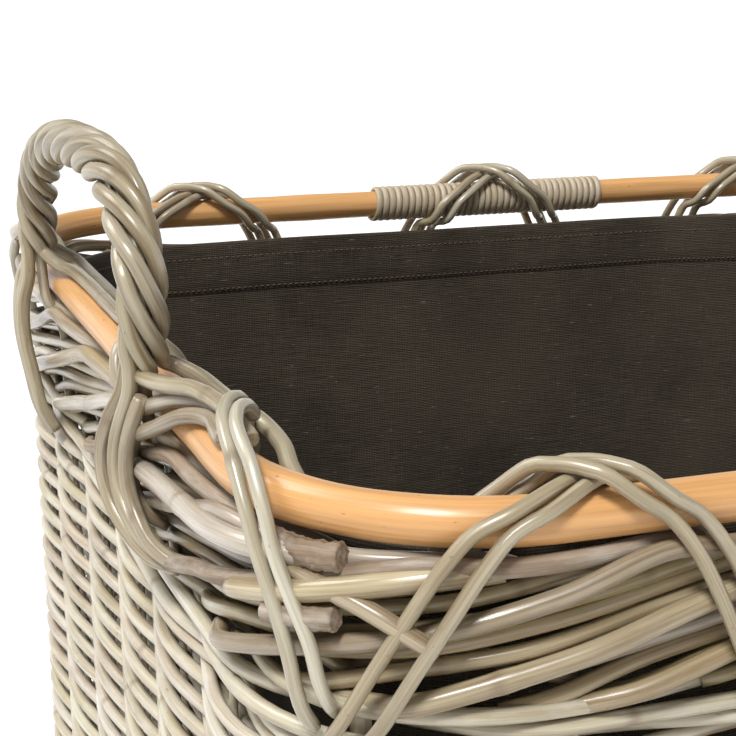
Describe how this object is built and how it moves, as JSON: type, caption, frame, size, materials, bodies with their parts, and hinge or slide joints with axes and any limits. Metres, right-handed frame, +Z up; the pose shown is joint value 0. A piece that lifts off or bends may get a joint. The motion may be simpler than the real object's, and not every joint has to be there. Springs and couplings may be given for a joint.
{
  "type": "wicker log basket",
  "caption": "Rounded rectangular wicker basket with a round rim pole tied on by crossed cane loops, twisted rope handles at both ends and a loose cloth liner.",
  "frame": {"origin": "on the floor under the middle of the basket", "axes": "+Z up, +X along the length from the left handle to the right handle, -Y the front"},
  "size_m": [0.6132, 0.5651, 0.4745],
  "materials": {
    "kubu_rattan": "whitewashed grey-beige rattan, satin skin with dull ends",
    "rattan_pole": "natural honey rattan pole, smooth and satin",
    "split_cane": "grey-beige split cane, satin",
    "liner_cloth": "dark brown-charcoal plain-woven cloth, matte"
  },
  "bodies": {
    "basket": {"rim_pole": "rattan_pole", "splice_binding": "split_cane", "foot_wale": "kubu_rattan", "siding": "kubu_rattan", "top_wale": "kubu_rattan", "border_course_1": "kubu_rattan", "border_course_2": "kubu_rattan", "border_course_3": "kubu_rattan", "post_front_right": "kubu_rattan", "post_back_right": "kubu_rattan", "post_back_left": "kubu_rattan", "post_front_left": "kubu_rattan", "base_stick_1": "kubu_rattan", "base_stick_2": "kubu_rattan", "base_stick_3": "kubu_rattan", "base_weave": "kubu_rattan", "loop_front_1_a1": "kubu_rattan", "loop_front_1_a2": "kubu_rattan", "loop_front_1_b1": "kubu_rattan", "loop_front_1_b2": "kubu_rattan", "loop_front_2_a1": "kubu_rattan", "loop_front_2_a2": "kubu_rattan", "loop_front_2_b1": "kubu_rattan", "loop_front_2_b2": "kubu_rattan", "loop_front_3_a1": "kubu_rattan", "loop_front_3_a2": "kubu_rattan", "loop_front_3_b1": "kubu_rattan", "loop_front_3_b2": "kubu_rattan", "loop_back_1_a1": "kubu_rattan", "loop_back_1_a2": "kubu_rattan", "loop_back_1_b1": "kubu_rattan", "loop_back_1_b2": "kubu_rattan", "loop_back_2_a1": "kubu_rattan", "loop_back_2_a2": "kubu_rattan", "loop_back_2_b1": "kubu_rattan", "loop_back_2_b2": "kubu_rattan", "loop_back_3_a1": "kubu_rattan", "loop_back_3_a2": "kubu_rattan", "loop_back_3_b1": "kubu_rattan", "loop_back_3_b2": "kubu_rattan", "strap_front_left": "kubu_rattan", "strap_front_right": "kubu_rattan", "strap_back_right": "kubu_rattan", "strap_back_left": "kubu_rattan", "handle_left_core": "kubu_rattan", "handle_left_strand_1": "kubu_rattan", "handle_left_strand_2": "kubu_rattan", "handle_left_strand_3": "kubu_rattan", "handle_left_strand_4": "kubu_rattan", "handle_left_strand_5": "kubu_rattan", "handle_right_core": "kubu_rattan", "handle_right_strand_1": "kubu_rattan", "handle_right_strand_2": "kubu_rattan", "handle_right_strand_3": "kubu_rattan", "handle_right_strand_4": "kubu_rattan", "handle_right_strand_5": "kubu_rattan"},
    "liner": {"liner_floor": "liner_cloth", "liner_side": "liner_cloth", "liner_hem": "liner_cloth"}
  },
  "joints": [
    {"name": "liner_lift", "type": "slide", "parent": "basket", "child": "liner", "axis": [0, 0, 1], "range_m": [0, 0.47]}
  ]
}
